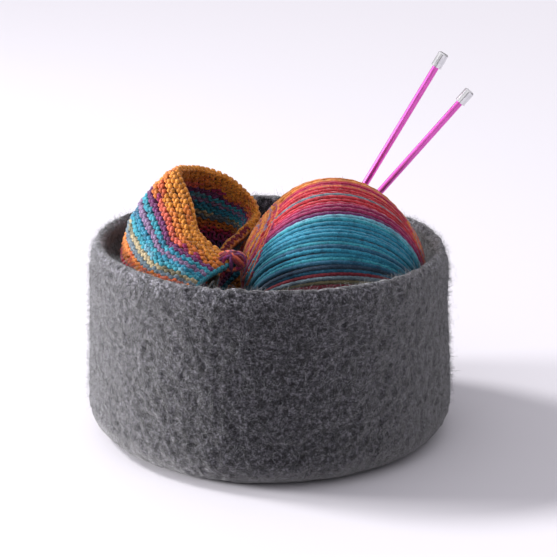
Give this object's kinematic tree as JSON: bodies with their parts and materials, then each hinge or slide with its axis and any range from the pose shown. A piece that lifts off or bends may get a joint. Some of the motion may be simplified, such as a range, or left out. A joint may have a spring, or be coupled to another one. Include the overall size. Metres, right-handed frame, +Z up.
{
  "type": "knitting bag",
  "caption": "Round felted wool knitting bag, open at the top, holding a striped yarn ball, rolled garter-stitch knitting and straight needles that lift out.",
  "frame": {"origin": "centre of the bag's flat underside", "axes": "+Z up out of the bag's mouth, -Y towards the front, +X to the side the needles lean to"},
  "size_m": [0.2736, 0.254, 0.2484],
  "materials": {
    "felt": "heathered grey felted wool",
    "striped_yarn": "self-striping wool yarn, wound",
    "dark_red_yarn": "dark red wool yarn, wound",
    "garter_knit": "self-striping wool in garter stitch",
    "pink_metal": "pink anodised, glossy",
    "cap_metal": "polished silver"
  },
  "bodies": {
    "bag": {"base_disc": "felt", "base_edge": "felt", "side_wall": "felt"},
    "lower_ball": {"lower_yarn_ball": "dark_red_yarn"},
    "striped_ball": {"striped_yarn_ball": "striped_yarn"},
    "knitting": {"knitted_piece": "garter_knit"},
    "needle_1": {"needle_1_shaft": "pink_metal", "needle_1_cap": "cap_metal"},
    "needle_2": {"needle_2_shaft": "pink_metal", "needle_2_cap": "cap_metal"}
  },
  "joints": [
    {"name": "lower_ball_lift", "type": "slide", "parent": "bag", "child": "lower_ball", "axis": [0, 0, 1], "range_m": [0, 0.25]},
    {"name": "striped_ball_lift", "type": "slide", "parent": "lower_ball", "child": "striped_ball", "axis": [0, 0, 1], "range_m": [0, 0.22]},
    {"name": "knitting_lift", "type": "slide", "parent": "bag", "child": "knitting", "axis": [0, 0, 1], "range_m": [0, 0.25]},
    {"name": "needle_1_pull", "type": "slide", "parent": "bag", "child": "needle_1", "axis": [0.497, 0, 0.8678], "range_m": [0, 0.275]},
    {"name": "needle_2_pull", "type": "slide", "parent": "bag", "child": "needle_2", "axis": [0.6475, 0, 0.7621], "range_m": [0, 0.275]}
  ]
}
